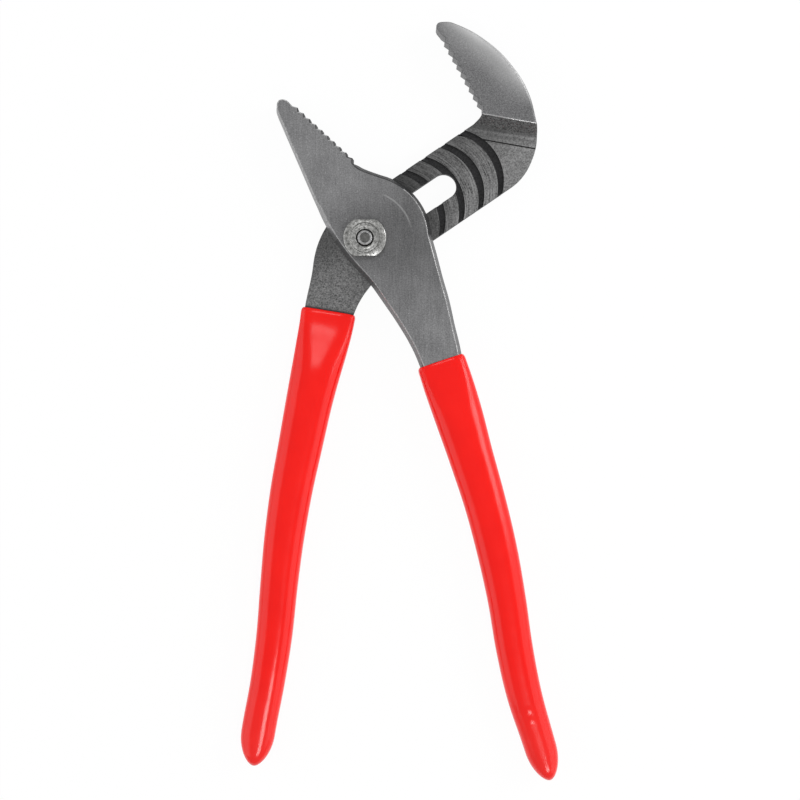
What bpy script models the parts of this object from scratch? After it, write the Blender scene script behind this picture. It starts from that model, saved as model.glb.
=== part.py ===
"""Groove-joint water pump pliers, 12 inch class, lying on their back.

The pivot axis is the Z axis. X runs to the right and Y towards the jaws, seen from the front.
Z = 0 is the outer face of the bolt's head, which the tool lies on together with both grips.
"""
import math

import bmesh
import bpy
import numpy as np
from mathutils import Matrix, Vector

MM = 0.001

# Levels through the joint, from the bolt's head at the back to the nut at the front
GAP = 0.3 * MM
HEAD_THICKNESS = 2.6 * MM
ARM_THICKNESS = 5.6 * MM
PLATE_THICKNESS = 5.6 * MM
NUT_HEIGHT = 3.7 * MM
BACK_FACE = HEAD_THICKNESS + GAP
ARM_FACE = BACK_FACE + ARM_THICKNESS
PLATE_BACK = ARM_FACE + GAP
FRONT_FACE = PLATE_BACK + PLATE_THICKNESS
NUT_BASE = FRONT_FACE + GAP
NUT_TOP = NUT_BASE + NUT_HEIGHT

# The channel arm, its slot, and the grooves that take the tongue: a groove's inner wall is centred on the
# bolt, and its outer wall ahead of it, so that the groove narrows towards both edges of the arm
ARM_ANGLE = math.radians(34.1)
ARM_ABOVE_AXIS = 13.9 * MM
ARM_BELOW_AXIS = 15.4 * MM
SLOT_WIDTH = 10.2 * MM
SLOT_END_PLAY = 0.3 * MM
GROOVE_COUNT = 5
GROOVE_PITCH = 9.4 * MM
GROOVE_INNER_RADIUS = 21.95 * MM
GROOVE_OUTER_RADIUS = 20.7 * MM
GROOVE_OUTER_SHIFT = 4.4 * MM
GROOVE_DEPTH = 1.8 * MM
GROOVE_HALF_SWEEP = math.radians(54)
TONGUE_RADIUS = 23.0 * MM
TONGUE_WIDTH = 1.5 * MM
TONGUE_HEIGHT = 1.7 * MM
TONGUE_START = math.radians(76)
TONGUE_END = math.radians(101)

# How far the front half swings about the bolt from the pose modelled here
SWING_CLOSE = math.radians(23)
SWING_OPEN = math.radians(45)

# The joint plate is round where it laps over the arm
PLATE_RADIUS = 26.5 * MM
PLATE_ROUND_START = math.radians(76)
PLATE_ROUND_END = math.radians(4)

# Bolt and nut
BOLT_HOLE = 10.6 * MM
JOURNAL = 10.2 * MM
NECK_FLATS = 9.6 * MM
STUD = 5.8 * MM
STUD_PROUD = 0.4 * MM
HEAD = 17.0 * MM
NUT = 17.0 * MM
NUT_FLATS = 14.4 * MM
NUT_BORE = 6.4 * MM
NUT_RING = 10.6 * MM
NUT_RING_DEPTH = 0.5 * MM
NUT_DOME = 0.7 * MM
CHAMFER = 0.9 * MM

# Jaws
TOOTH_DEPTH = 1.0 * MM
TOOTH_LEAN = 0.6
FRONT_TEETH = 10
BACK_TEETH = 9
JAW_CLEARANCE = 0.5 * MM
STEP_CLEARANCE = 0.3 * MM
STEP_ANGLE = math.radians(-10)
STEP_RUN = 4.0 * MM
SCRIBE_BELOW_STEP = 5.4 * MM
SCRIBE_WIDTH = 0.8 * MM
SCRIBE_DEPTH = 0.45 * MM
BLOCK_CORNER = 3.0 * MM

# Draft of the front half: its walls lean in from the parting level to both faces, less along the jaw
# and not at all along the teeth, which are cut
PARTING = (BACK_FACE + FRONT_FACE) / 2
DRAFT = 1.4 * MM
DRAFT_REACH = 4.0 * MM
JAW_DRAFT_SHARE = 0.55

# Edges of the forgings, and how far the wide ones take to fade into the fine ones
WIDE_EDGE = 1.6 * MM
FINE_EDGE = 0.4 * MM
EDGE_FADE = 14.0 * MM
WIDE_EDGE_DEPTH = 6.0 * MM
JAW_HEEL = 40.0 * MM

# The tangs, which start inside the necks
TANG_ROOT_WIDTH = 12.0 * MM
TANG_ROOT_INSET = 0.8 * MM
BACK_TANG_ROOT = 8.0 * MM
FRONT_TANG_ROOT = 14.0 * MM
TANG_FIRST_RING = 3.0 * MM
TANG_GAP_AT_MOUTH = 0.7 * MM

# Dipped grips on the tangs
WALL_AT_MOUTH = 0.7 * MM
WALL = 1.4 * MM
WALL_AT_TIP = 9.0 * MM
LIP = 0.5 * MM
RAMP = 24.0 * MM
FIRST_RING = 4.0 * MM
TIP_LENGTH = 13.5 * MM
TIP_BLUNTNESS = 0.6
CORNER_AT_MOUTH = 0.45
CORNER = 0.7

# Each grip from its mouth to its tip: centre x and y, width, bottom and top, in millimetres
BACK_GRIP = (
    (-14.7, -28.5, 22.1, 1.95, 9.45),
    (-15.6, -34.0, 21.7, 1.8, 9.9),
    (-17.6, -43.4, 20.9, 1.5, 12.3),
    (-19.6, -52.0, 19.9, 1.35, 13.5),
    (-22.0, -62.6, 18.9, 1.2, 13.9),
    (-25.9, -81.8, 17.8, 1.0, 13.8),
    (-29.7, -101.0, 16.9, 0.8, 13.6),
    (-32.6, -120.2, 16.0, 0.6, 13.4),
    (-34.7, -139.4, 15.1, 0.4, 13.2),
    (-36.5, -158.6, 14.5, 0.25, 13.0),
    (-39.3, -177.8, 13.9, 0.15, 12.8),
    (-42.9, -196.9, 13.8, 0.1, 12.6),
    (-44.9, -211.0, 13.6, 0.1, 12.4),
)
FRONT_GRIP = (
    (30.1, -48.6, 19.6, 3.9, 15.35),
    (33.2, -57.8, 20.0, 2.6, 15.2),
    (36.4, -67.4, 19.7, 2.0, 14.9),
    (42.3, -86.6, 18.0, 1.7, 14.6),
    (48.1, -105.8, 16.9, 1.4, 14.3),
    (52.9, -125.0, 16.3, 1.1, 14.0),
    (56.7, -144.2, 15.4, 0.8, 13.7),
    (59.7, -163.4, 14.9, 0.5, 13.4),
    (63.8, -182.6, 14.2, 0.25, 13.0),
    (69.0, -199.6, 13.2, 0.1, 12.6),
    (74.2, -216.6, 12.6, 0.1, 12.4),
)

# Fineness of curves
CURVE_STEPS = 5
ARC_STEP = math.radians(5)
CORNER_STEPS = 4
TURN_STEPS = 48
GRIP_STEP = 9.0 * MM
TIP_STEPS = 7

ALONG_ARM = Vector((math.cos(ARM_ANGLE), math.sin(ARM_ANGLE)))
ACROSS_ARM = Vector((-math.sin(ARM_ANGLE), math.cos(ARM_ANGLE)))
SLOT_TRAVEL = (GROOVE_COUNT - 1) * GROOVE_PITCH
FAR = 200 * MM


def new_collection(name):
    collection = bpy.data.collections.new(name)
    bpy.context.scene.collection.children.link(collection)
    return collection


def new_material(name, colour, roughness, metallic):
    material = bpy.data.materials.new(name)
    material.use_nodes = True
    shader = material.node_tree.nodes["Principled BSDF"]
    shader.inputs["Base Color"].default_value = colour
    shader.inputs["Roughness"].default_value = roughness
    shader.inputs["Metallic"].default_value = metallic
    return material


def mm(*points):
    """Points given in millimetres, as vectors in metres."""
    return [Vector(point) * MM for point in points]


def straight(*points):
    """Outline points with straight lines between them."""
    return [(Vector(point), "VECTOR") for point in points]


def smooth(*points):
    """Outline points that a smooth curve runs through."""
    return [(Vector(point), "AUTO") for point in points]


def heading(angle):
    return Vector((math.cos(angle), math.sin(angle)))


def on_arm(along, across):
    """A point of the arm, measured along its slot and across it from the pivot."""
    return ALONG_ARM * along + ACROSS_ARM * across


def arc(centre, radius, start, end):
    """Points on an arc, from one angle to another."""
    steps = max(2, math.ceil(abs(end - start) / ARC_STEP))
    return [Vector(centre) + radius * heading(start + (end - start) * i / steps) for i in range(steps + 1)]


def ring_sector(centre, radius, width, start, end):
    """The outline of a curved bar of constant width."""
    outer = arc(centre, radius + width / 2, start, end)
    inner = arc(centre, radius - width / 2, end, start)
    return straight(*outer, *inner)


def teeth(start, end, count):
    """Saw teeth from start to end, standing out to the left of that line."""
    run = (end - start) / count
    out = Vector((-run.y, run.x)).normalized() * TOOTH_DEPTH
    points = [start]
    for i in range(count):
        points.append(start + run * (i + TOOTH_LEAN) + out)
        points.append(start + run * (i + 1))
    return points


def add_mesh(name, mesh, collection):
    solid = bpy.data.objects.new(name, mesh)
    collection.objects.link(solid)
    return solid


def slab(name, outline, bottom, top, collection):
    """A flat outline, filled and given a thickness, as a closed mesh."""
    curve = bpy.data.curves.new(name, "CURVE")
    curve.dimensions = "2D"
    curve.fill_mode = "BOTH"
    curve.resolution_u = CURVE_STEPS
    curve.extrude = (top - bottom) / 2
    spline = curve.splines.new("BEZIER")
    spline.use_cyclic_u = True
    spline.bezier_points.add(len(outline) - 1)
    for point, (place, handle) in zip(spline.bezier_points, outline):
        point.co = place.to_3d()
        point.handle_left_type = handle
        point.handle_right_type = handle
    drawn = bpy.data.objects.new(f"{name}_outline", curve)
    drawn.location.z = (top + bottom) / 2
    collection.objects.link(drawn)
    bpy.context.view_layer.update()
    evaluated = drawn.evaluated_get(bpy.context.evaluated_depsgraph_get())
    mesh = bpy.data.meshes.new_from_object(evaluated)
    shape = bmesh.new()
    shape.from_mesh(mesh)
    bmesh.ops.remove_doubles(shape, verts=shape.verts, dist=0.001 * MM)
    bmesh.ops.recalc_face_normals(shape, faces=shape.faces)
    for side in (1, -1):
        cap = [face for face in shape.faces if face.normal.z * side > 0.9]
        bmesh.ops.dissolve_faces(shape, faces=cap)
    shape.to_mesh(mesh)
    shape.free()
    mesh.transform(drawn.matrix_world)
    bpy.data.objects.remove(drawn, do_unlink=True)
    return add_mesh(name, mesh, collection)


def loft(name, rings, collection):
    """A closed skin through rings of equal length, with flat ends."""
    shape = bmesh.new()
    loops = [[shape.verts.new(place) for place in ring] for ring in rings]
    for near, far in zip(loops, loops[1:]):
        for i in range(len(near)):
            shape.faces.new((near[i - 1], near[i], far[i], far[i - 1]))
    shape.faces.new(loops[0])
    shape.faces.new(loops[-1])
    bmesh.ops.recalc_face_normals(shape, faces=shape.faces)
    mesh = bpy.data.meshes.new(name)
    shape.to_mesh(mesh)
    shape.free()
    return add_mesh(name, mesh, collection)


def turned(name, profile, closed, collection):
    """A profile of (radius, height) points that runs down its outer side, spun about the Z axis."""
    mesh = bpy.data.meshes.new(name)
    edges = [(i, i + 1) for i in range(len(profile) - 1)]
    if closed:
        edges.append((len(profile) - 1, 0))
    mesh.from_pydata([(radius, 0, height) for radius, height in profile], edges, [])
    solid = add_mesh(name, mesh, collection)
    screw = solid.modifiers.new("spin", "SCREW")
    screw.steps = TURN_STEPS
    screw.render_steps = TURN_STEPS
    screw.use_merge_vertices = True
    screw.merge_threshold = 0.01 * MM
    return solid


def cylinder(name, diameter, bottom, top, collection):
    mesh = bpy.data.meshes.new(name)
    shape = bmesh.new()
    bmesh.ops.create_cone(
        shape, cap_ends=True, segments=TURN_STEPS, radius1=diameter / 2, radius2=diameter / 2,
        depth=top - bottom, matrix=Matrix.Translation((0, 0, (top + bottom) / 2)))
    shape.to_mesh(mesh)
    shape.free()
    return add_mesh(name, mesh, collection)


def boolean(solid, tool, operation):
    """Cuts a tool out of a solid, or joins it on, and hides the tool."""
    tool.hide_render = True
    tool.display_type = "WIRE"
    step = solid.modifiers.new(tool.name, "BOOLEAN")
    step.object = tool
    step.operation = operation


def cut_flats(solid, across, angle, bottom, top, collection):
    """Cuts two parallel flats on a round piece, facing along an angle and its opposite."""
    for side in (0, math.pi):
        turn = Matrix.Rotation(angle + side, 2)
        box = ((across / 2, -across), (2 * across, -across), (2 * across, across), (across / 2, across))
        outline = straight(*[turn @ Vector(point) for point in box])
        boolean(solid, slab(f"{solid.name}_flat", outline, bottom, top, collection), "DIFFERENCE")


def blend(value, start, end):
    """0 up to a start, 1 from an end on, and straight in between."""
    return min(max((value - start) / (end - start), 0), 1)


def lean_walls(solid, share):
    """Leans a slab's walls in from the parting level, square to the outline, by a share of the draft."""
    shape = bmesh.new()
    shape.from_mesh(solid.data)
    front = max(shape.faces, key=lambda face: face.normal.z * len(face.verts))
    rim = list(front.verts)
    partners = []
    for vertex in rim:
        upright = next(edge for edge in vertex.link_edges if edge.other_vert(vertex) not in rim)
        partners.append(upright.other_vert(vertex))
    places = np.array([vertex.co.xy for vertex in rim])
    runs = np.roll(places, -1, axis=0) - places
    lengths = np.hypot(runs[:, 0], runs[:, 1])
    starts = np.cumsum(lengths) - lengths
    everything = [*shape.verts, *shape.edges, *shape.faces]
    bmesh.ops.bisect_plane(shape, geom=everything, plane_co=(0, 0, PARTING), plane_no=(0, 0, 1))
    for i, pair in enumerate(zip(rim, partners)):
        apart = np.abs(starts + lengths / 2 - starts[i])
        apart = np.minimum(apart, lengths.sum() - apart)
        run = (runs * np.clip(1 - apart / DRAFT_REACH, 0, 1)[:, None]).sum(axis=0)
        inwards = Vector((-run[1], run[0], 0)).normalized()
        for vertex in pair:
            vertex.co += inwards * DRAFT * share(vertex.co)
    shape.to_mesh(solid.data)
    shape.free()


def round_rims(solid, breadth):
    """Rounds a slab's two rims: finely where breadth(place) is 0, broadly where it is 1."""
    shape = bmesh.new()
    shape.from_mesh(solid.data)
    weight = shape.edges.layers.float.new("bevel_weight_edge")
    for edge in shape.edges:
        level_faces = [face for face in edge.link_faces if abs(face.normal.z) > 0.9]
        if len(level_faces) == 1:
            share = breadth((edge.verts[0].co + edge.verts[1].co) / 2)
            edge[weight] = (FINE_EDGE + (WIDE_EDGE - FINE_EDGE) * share) / WIDE_EDGE
    shape.to_mesh(solid.data)
    shape.free()
    bevel = solid.modifiers.new("rims", "BEVEL")
    bevel.limit_method = "WEIGHT"
    bevel.width = WIDE_EDGE
    bevel.segments = 2
    bevel.use_clamp_overlap = False


def smooth_rows(rows, spots):
    """Values at distances along a smooth curve through rows, which start with x and y."""
    rows = np.array(rows) * MM
    reach = row_distances(rows)
    slopes = np.gradient(rows, reach, axis=0)
    found = []
    for spot in spots:
        i = int(np.clip(np.searchsorted(reach, spot) - 1, 0, len(rows) - 2))
        span = reach[i + 1] - reach[i]
        t = (spot - reach[i]) / span
        found.append(
            rows[i] * (1 + 2 * t) * (1 - t) ** 2 + slopes[i] * span * t * (1 - t) ** 2
            + rows[i + 1] * t * t * (3 - 2 * t) + slopes[i + 1] * span * t * t * (t - 1))
    return found


def row_distances(rows):
    """The distance of each row from the first, along the rows' x and y."""
    steps = np.diff(np.array(rows)[:, :2], axis=0)
    return np.concatenate([[0], np.cumsum(np.hypot(steps[:, 0], steps[:, 1]))])


def ramp(spot, start, end):
    """A value that goes from start at a grip's mouth to end where the tang is full."""
    t = blend(spot, 0, RAMP)
    return start + (end - start) * t * t * (3 - 2 * t)


def section(rows, spot, inset, corner_cut):
    """A rounded rectangle across a handle, at a distance from the mouth and drawn in by an inset."""
    length = row_distances(rows)[-1] * MM
    x, y, width, bottom, top = smooth_rows(rows, [spot])[0]
    before, after = (Vector(row[:2]) for row in smooth_rows(rows, [spot - LIP, spot + LIP]))
    side = (after - before).normalized().orthogonal()
    to_tip = max(0, (spot - length + TIP_LENGTH) / TIP_LENGTH)
    taper = (1 - to_tip ** 2) ** TIP_BLUNTNESS
    half_width = width / 2 * taper
    half_height = (top - bottom) / 2 * taper
    corner = ramp(spot, CORNER_AT_MOUTH, CORNER) * min(half_width, half_height)
    return rounded_ring(
        Vector((x, y, (top + bottom) / 2)), side, half_width - inset, half_height - inset,
        max(corner - corner_cut, GAP))


def rounded_ring(centre, side, half_width, half_height, corner):
    """Points round an upright rounded rectangle that faces along the handle."""
    places = []
    for quarter, (across, up) in enumerate(((1, 1), (-1, 1), (-1, -1), (1, -1))):
        for i in range(CORNER_STEPS + 1):
            turn = heading((quarter + i / CORNER_STEPS) * math.pi / 2) * corner
            offset = across * (half_width - corner) + turn.x
            height = up * (half_height - corner) + turn.y
            places.append(centre + side.to_3d() * offset + Vector((0, 0, height)))
    return places


def wall(spot):
    """How thick the dipped sleeve is, at a distance from its mouth."""
    return ramp(spot, WALL_AT_MOUTH, WALL)


def build_tang(name, rows, start, bottom, top, collection):
    """The handle's steel core: it starts inside the neck and fills the grip's hollow."""
    length = row_distances(rows)[-1] * MM
    mouth, beyond = (Vector(row[:2]) for row in smooth_rows(rows, [0, LIP]))
    ahead = (beyond - mouth).normalized()
    root = (mouth - ahead * start).to_3d()
    root.z = (bottom + top) / 2
    root_height = top - bottom - 2 * TANG_ROOT_INSET
    rings = [rounded_ring(root, ahead.orthogonal(), TANG_ROOT_WIDTH / 2, root_height / 2, GAP)]
    for spot in np.arange(TANG_FIRST_RING, length - WALL_AT_TIP, GRIP_STEP):
        inset = wall(spot) + ramp(spot, TANG_GAP_AT_MOUTH, GAP)
        rings.append(section(rows, spot, inset, inset))
    return loft(name, rings, collection)


def build_grip(name, rows, material, collection):
    """A dipped sleeve: the hollow from its blind end to the mouth, round the lip, and the outside."""
    length = row_distances(rows)[-1] * MM
    hollow = [LIP, *np.arange(LIP + FIRST_RING, length - WALL_AT_TIP + GRIP_STEP / 2, GRIP_STEP)]
    rings = [section(rows, spot, wall(spot), 2 * wall(spot)) for spot in reversed(hollow)]
    rings.append(section(rows, 0, 0.7 * WALL_AT_MOUTH, WALL_AT_MOUTH))
    rings.append(section(rows, 0, 0.3 * WALL_AT_MOUTH, 0))
    body = [LIP, *np.arange(LIP + FIRST_RING, length - TIP_LENGTH, GRIP_STEP)]
    rings += [section(rows, spot, 0, 0) for spot in body]
    for i in range(TIP_STEPS):
        to_tip = math.sin((i + 0.5) / TIP_STEPS * math.pi / 2)
        rings.append(section(rows, length - TIP_LENGTH * (1 - to_tip), 0, 0))
    grip = loft(name, rings, collection)
    grip.data.materials.append(material)
    grip.data.shade_smooth()
    return grip


def build_back_half(material, parts, cutters):
    """The forging with the hooked jaw, the slotted and grooved arm, the neck and a tang."""
    tooth_start, tooth_end = mm((46.7, 52.5), (31.8, 79.7))
    outline = [
        *smooth(*mm((28.4, 84.8), (32.1, 86.1), (36.5, 85.1), (49.2, 78.0), (58.8, 68.5), (64.7, 58.9))),
        *smooth(*mm((67.5, 49.4), (68.7, 41.1), (67.1, 32.7), (62.6, 24.7))),
        *straight(on_arm(55 * MM, -ARM_BELOW_AXIS), on_arm(-5 * MM, -ARM_BELOW_AXIS)),
        *smooth(*mm((1.3, -19.3), (-2.2, -24.4), (-4.9, -30.4))),
        *straight(*mm((-6.3, -34.8), (-24.7, -30.3))),
        *smooth(*mm((-23.6, -24.2), (-21.5, -14.6), (-19.9, -5.0), (-17.6, 1.4))),
        *straight(on_arm(-8 * MM, ARM_ABOVE_AXIS), on_arm(58 * MM, ARM_ABOVE_AXIS)),
        *smooth(*mm((44.3, 46.9), (46.5, 49.5))),
        *straight(*teeth(tooth_start, tooth_end, BACK_TEETH)),
        *straight(*mm((30.4, 80.7))),
    ]
    half = slab("back_half", outline, BACK_FACE, FRONT_FACE, parts)
    outwards = -(tooth_end - tooth_start).orthogonal().normalized()

    def jaw_back(place):
        """1 along the front rim of the jaw's outer curve, fading out towards its tip and its heel."""
        if place.z < PARTING:
            return 0
        depth = (place.xy - tooth_end).dot(outwards)
        behind_teeth = blend(depth, WIDE_EDGE_DEPTH, WIDE_EDGE_DEPTH + EDGE_FADE)
        return behind_teeth * blend(place.y, JAW_HEEL, JAW_HEEL + EDGE_FADE)

    round_rims(half, jaw_back)

    # Everything below the jaw's step is cut down to the level that the front half laps over
    last_pivot = on_arm(SLOT_TRAVEL, 0)
    foot = PLATE_RADIUS + STEP_CLEARANCE
    rise = FRONT_FACE - ARM_FACE
    lap = straight((-FAR, ARM_FACE), (foot, ARM_FACE), (foot + 2 * STEP_RUN, ARM_FACE + 2 * rise),
                   (-FAR, ARM_FACE + 2 * rise))
    scribe = foot - SCRIBE_BELOW_STEP
    groove = straight((scribe - SCRIBE_WIDTH / 2, ARM_FACE + GAP), (scribe, ARM_FACE - SCRIBE_DEPTH),
                      (scribe + SCRIBE_WIDTH / 2, ARM_FACE + GAP))
    across = heading(STEP_ANGLE + math.pi / 2).to_3d()
    up = Vector((0, 0, 1))
    lie = Matrix((across, up, across.cross(up))).transposed().to_4x4()
    lie.translation = last_pivot.to_3d()
    for name, outline in (("lap_cut", lap), ("scribe_cut", groove)):
        cutter = slab(name, outline, -FAR / 2, FAR / 2, cutters)
        cutter.matrix_world = lie
        boolean(half, cutter, "DIFFERENCE")

    # The slot, and one groove for each stop of the bolt
    ends = (on_arm(-SLOT_END_PLAY, 0), on_arm(SLOT_TRAVEL + SLOT_END_PLAY, 0))
    quarter = math.pi / 2
    slot = [*arc(ends[1], SLOT_WIDTH / 2, ARM_ANGLE - quarter, ARM_ANGLE + quarter),
            *arc(ends[0], SLOT_WIDTH / 2, ARM_ANGLE + quarter, ARM_ANGLE + 3 * quarter)]
    boolean(half, slab("slot_cut", straight(*slot), 0, FRONT_FACE, cutters), "DIFFERENCE")
    for i in range(GROOVE_COUNT):
        stop = on_arm(i * GROOVE_PITCH, 0)
        ahead = on_arm(i * GROOVE_PITCH + GROOVE_OUTER_SHIFT, 0)
        sweep = (ARM_ANGLE - GROOVE_HALF_SWEEP, ARM_ANGLE + GROOVE_HALF_SWEEP)
        outer = arc(ahead, GROOVE_OUTER_RADIUS, *sweep)
        inner = arc(stop, GROOVE_INNER_RADIUS, *reversed(sweep))
        outline = straight(*outer, *inner)
        groove = slab(f"groove_cut_{i + 1}", outline, ARM_FACE - GROOVE_DEPTH, FRONT_FACE, cutters)
        boolean(half, groove, "DIFFERENCE")

    tang = build_tang("back_tang", BACK_GRIP, BACK_TANG_ROOT, BACK_FACE, ARM_FACE, cutters)
    boolean(half, tang, "UNION")
    half.data.materials.append(material)
    return half


def build_front_half(material, parts, cutters):
    """The forging with the straight jaw, the lapping plate with its tongue, the neck and a tang."""
    tooth_start, tooth_end = mm((-28.85, 52.55), (-4.75, 30.25))
    outline = [
        *smooth(*mm((-35.5, 51.4), (-34.6, 54.6), (-31.8, 55.1))),
        *straight(*teeth(tooth_start, tooth_end, FRONT_TEETH)),
        *smooth(*mm((-2.9, 29.5), (-0.9, 28.4), (2.1, 27.2))),
        *straight(*arc((0, 0), PLATE_RADIUS, PLATE_ROUND_START, PLATE_ROUND_END)),
        *smooth(*mm((28.5, -5.4), (31.0, -15.0), (33.7, -24.5), (35.8, -34.0), (38.0, -43.0))),
        *straight(*mm((39.2, -50.0), (23.1, -54.6))),
        *smooth(*mm((21.5, -50.0), (18.6, -43.4), (13.1, -34.0), (6.7, -24.6), (2.2, -18.3), (-7.2, -7.6))),
        *smooth(*mm((-15.1, 4.1))),
        *straight(*mm((-20.7, 16.0), (-34.7, 48.4))),
    ]
    half = slab("front_half", outline, BACK_FACE, FRONT_FACE, parts)
    ahead = (tooth_end - tooth_start).normalized()
    tooth_run = (tooth_end - tooth_start).length

    def drafted(place):
        """0 along the teeth, the jaw's share behind them, and 1 from the valley after the last tooth on."""
        offset = place.xy - tooth_start
        behind = abs(offset.dot(ahead.orthogonal()))
        past = blend(offset.dot(ahead), tooth_run - TOOTH_DEPTH, tooth_run + 2 * TOOTH_DEPTH)
        return max(past, JAW_DRAFT_SHARE * blend(behind, 2 * TOOTH_DEPTH, 6 * TOOTH_DEPTH))

    lean_walls(half, drafted)
    round_rims(half, lambda place: 0)

    # Behind the plate the forging is cut away, except for the jaw's block, which at both ends of the
    # swing stays clear of the arm's upper edge
    clear = ARM_ABOVE_AXIS + JAW_CLEARANCE
    arm_side = ARM_ANGLE + math.pi / 2 + SWING_CLOSE
    neck_side = ARM_ANGLE + math.pi / 2 - SWING_OPEN
    half_angle = (arm_side - neck_side) / 2
    centre = heading((arm_side + neck_side) / 2) * (clear + BLOCK_CORNER) / math.cos(half_angle)
    bend = arc(centre, BLOCK_CORNER, arm_side + math.pi, neck_side + math.pi)
    arm_end = bend[0] + heading(arm_side - math.pi / 2) * FAR
    neck_end = bend[-1] + heading(neck_side + math.pi / 2) * FAR
    behind = straight(arm_end, *bend, neck_end, (-FAR, -FAR), (FAR, -FAR))
    boolean(half, slab("behind_cut", behind, 0, PLATE_BACK, cutters), "DIFFERENCE")

    hole = cylinder("bolt_hole_cut", BOLT_HOLE, 0, 2 * FRONT_FACE, cutters)
    boolean(half, hole, "DIFFERENCE")
    outline = ring_sector((0, 0), TONGUE_RADIUS, TONGUE_WIDTH, TONGUE_START, TONGUE_END)
    tongue = slab("tongue", outline, PLATE_BACK - TONGUE_HEIGHT, PLATE_BACK + GAP, cutters)
    boolean(half, tongue, "UNION")
    tang = build_tang("front_tang", FRONT_GRIP, FRONT_TANG_ROOT, PLATE_BACK, FRONT_FACE, cutters)
    boolean(half, tang, "UNION")
    half.data.materials.append(material)
    return half


def build_bolt(material, parts, cutters):
    """Round head, flatted neck for the slot, round journal for the front half, and a stud."""
    top = NUT_TOP + STUD_PROUD
    journal_top = FRONT_FACE
    profile = [
        (0, top), (STUD / 2 - GAP, top), (STUD / 2, top - GAP), (STUD / 2, journal_top),
        (JOURNAL / 2, journal_top), (JOURNAL / 2, HEAD_THICKNESS), (HEAD / 2, HEAD_THICKNESS),
        (HEAD / 2, CHAMFER), (HEAD / 2 - CHAMFER, 0), (0, 0)]
    bolt = turned("pivot_bolt", profile, False, parts)
    flats = ARM_ANGLE + math.pi / 2
    cut_flats(bolt, NECK_FLATS, flats, HEAD_THICKNESS + GAP / 3, ARM_FACE + GAP / 2, cutters)
    bolt.data.materials.append(material)
    return bolt


def build_nut(material, parts, cutters):
    """A round nut with two flats, and a shallow ring sunk in its face."""
    half = NUT / 2
    bore = NUT_BORE / 2
    ring = NUT_RING / 2
    profile = [
        (bore + CHAMFER / 2, NUT_TOP - GAP / 2), (bore + CHAMFER, NUT_TOP - GAP / 3),
        (ring, NUT_TOP - NUT_RING_DEPTH), (ring + CHAMFER, NUT_TOP), (half - NUT_DOME, NUT_TOP - GAP / 3),
        (half, NUT_TOP - NUT_DOME), (half, NUT_BASE), (bore, NUT_BASE), (bore, NUT_TOP - CHAMFER)]
    nut = turned("pivot_nut", profile, True, parts)
    cut_flats(nut, NUT_FLATS, math.pi / 2, NUT_BASE - GAP, NUT_TOP + GAP, cutters)
    nut.data.materials.append(material)
    return nut


def new_empty(name, parent, collection):
    empty = bpy.data.objects.new(name, None)
    empty.empty_display_size = 10 * MM
    empty.parent = parent
    collection.objects.link(empty)
    return empty


def main():
    for old in list(bpy.data.objects):
        bpy.data.objects.remove(old, do_unlink=True)
    parts = new_collection("water_pump_pliers")
    cutters = new_collection("cutters")
    forged = new_material("forged_steel", (0.13, 0.132, 0.135, 1), 0.5, 1.0)
    ground = new_material("ground_steel", (0.17, 0.172, 0.176, 1), 0.38, 1.0)
    zinc = new_material("zinc_plate", (0.35, 0.35, 0.34, 1), 0.42, 1.0)
    turned_steel = new_material("turned_steel", (0.24, 0.24, 0.24, 1), 0.4, 1.0)
    back_vinyl = new_material("back_red_vinyl", (0.82, 0.012, 0.012, 1), 0.3, 0.0)
    front_vinyl = new_material("front_red_vinyl", (0.82, 0.012, 0.012, 1), 0.3, 0.0)

    # The bolt slides along the slot, and the front half hinges on the bolt
    slide = new_empty("slot_slide", None, parts)
    hinge = new_empty("jaw_hinge", slide, parts)
    back = build_back_half(forged, parts, cutters)
    build_grip("back_grip", BACK_GRIP, back_vinyl, parts).parent = back
    build_bolt(turned_steel, parts, cutters).parent = slide
    build_nut(zinc, parts, cutters).parent = slide
    build_front_half(ground, parts, cutters).parent = hinge
    build_grip("front_grip", FRONT_GRIP, front_vinyl, parts).parent = hinge


main()
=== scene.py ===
# %% [markdown]
# Water pump pliers, photographed from straight above on a white table.
# The two forgings, the bolt, the nut and the two grips come from a imported model, with their joints.
# It is loaded as a fixed frame, and everything below dresses it: finer steel, a turned nut, a hammered
# bolt end, dipped grips, and a finish for each of them.
# The frame's own solids could be painted instead, but they are faceted to suit physics.

# %% The frame, imported with its transforms applied
import math

import bmesh
import bpy
import numpy as np
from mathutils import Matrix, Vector


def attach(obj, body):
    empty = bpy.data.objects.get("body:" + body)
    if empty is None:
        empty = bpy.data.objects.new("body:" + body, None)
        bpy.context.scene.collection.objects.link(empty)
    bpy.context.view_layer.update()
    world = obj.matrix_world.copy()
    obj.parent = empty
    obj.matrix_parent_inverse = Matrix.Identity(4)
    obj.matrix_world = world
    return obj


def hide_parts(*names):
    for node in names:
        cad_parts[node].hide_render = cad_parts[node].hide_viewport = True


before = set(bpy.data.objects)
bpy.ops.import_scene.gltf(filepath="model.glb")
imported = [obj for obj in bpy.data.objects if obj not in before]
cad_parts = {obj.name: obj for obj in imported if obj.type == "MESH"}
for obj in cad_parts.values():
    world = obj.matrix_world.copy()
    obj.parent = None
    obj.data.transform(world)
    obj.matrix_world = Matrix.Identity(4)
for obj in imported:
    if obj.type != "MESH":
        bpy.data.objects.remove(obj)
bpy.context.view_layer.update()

MM = 0.001

# %% [markdown]
# The photograph looks straight down, with +Y of the frame up in the picture.
# A camera without perspective would be simpler, but a real lens stands some distance off,
# and the nut, which is nearer to it, shifts outwards a little.
# The height below gives that shift, and the angle makes 0.4 mm fill one pixel at the joint.

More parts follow.
